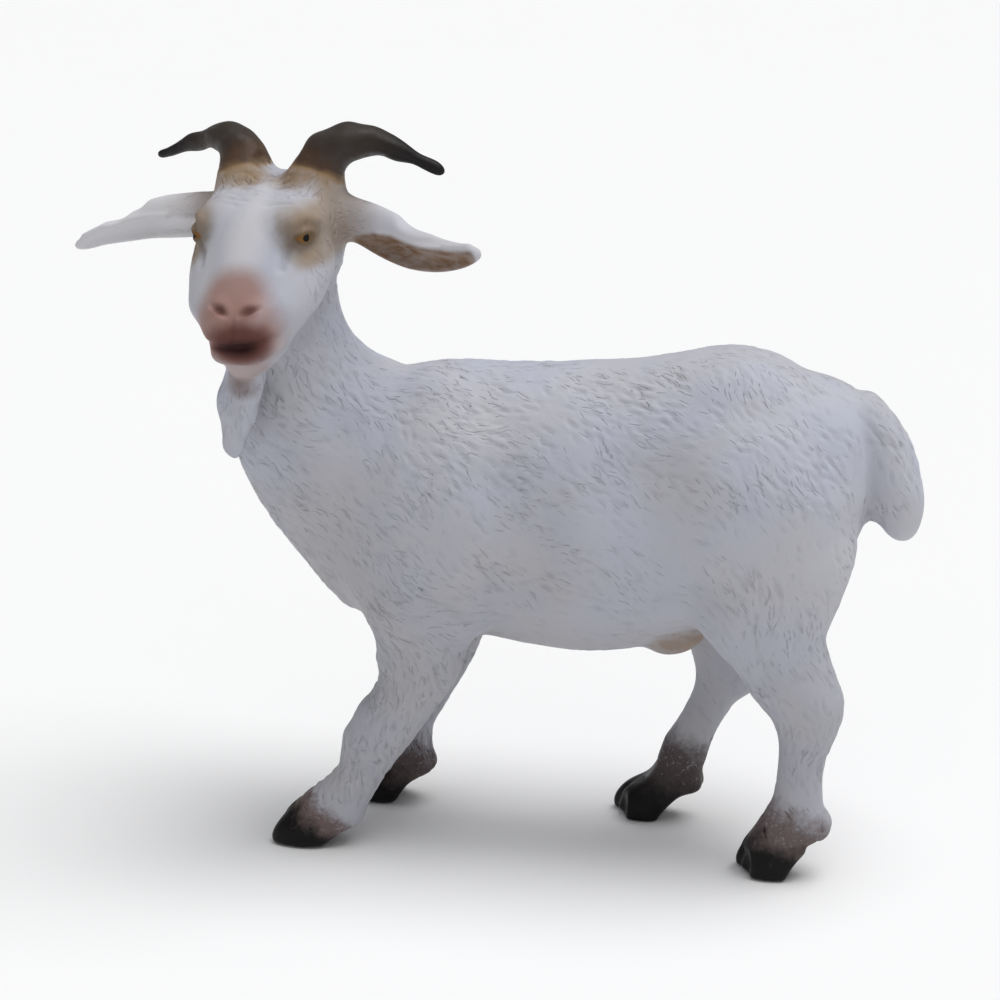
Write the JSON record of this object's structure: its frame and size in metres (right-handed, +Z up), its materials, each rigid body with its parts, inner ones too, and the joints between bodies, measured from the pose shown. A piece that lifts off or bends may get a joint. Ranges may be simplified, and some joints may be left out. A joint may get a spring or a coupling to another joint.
{
  "type": "goat figure",
  "caption": "Small moulded and hand-painted farm-goat figure: a walking white goat with curved horns and a short beard that looks to its left.",
  "frame": {"origin": "on the ground under the four hooves, below the middle of the whole figure", "axes": "+Z up; +X from the nose end to the tail; -Y is the goat's left side, the side its head turns to"},
  "size_m": [0.101, 0.0287, 0.0863],
  "materials": {
    "coat": "satin",
    "face": "satin",
    "horn": "satin",
    "ear": "satin",
    "beard": "satin",
    "leg": "satin",
    "tail": "satin",
    "udder": "satin"
  },
  "bodies": {
    "root": {"torso": "coat", "head": "face", "horn_left": "horn", "horn_right": "horn", "ear_left": "ear", "ear_right": "ear", "beard": "beard", "foreleg_left": "leg", "foreleg_right": "leg", "hindleg_left": "leg", "hindleg_right": "leg", "tail": "tail", "udder": "udder"}
  },
  "joints": []
}
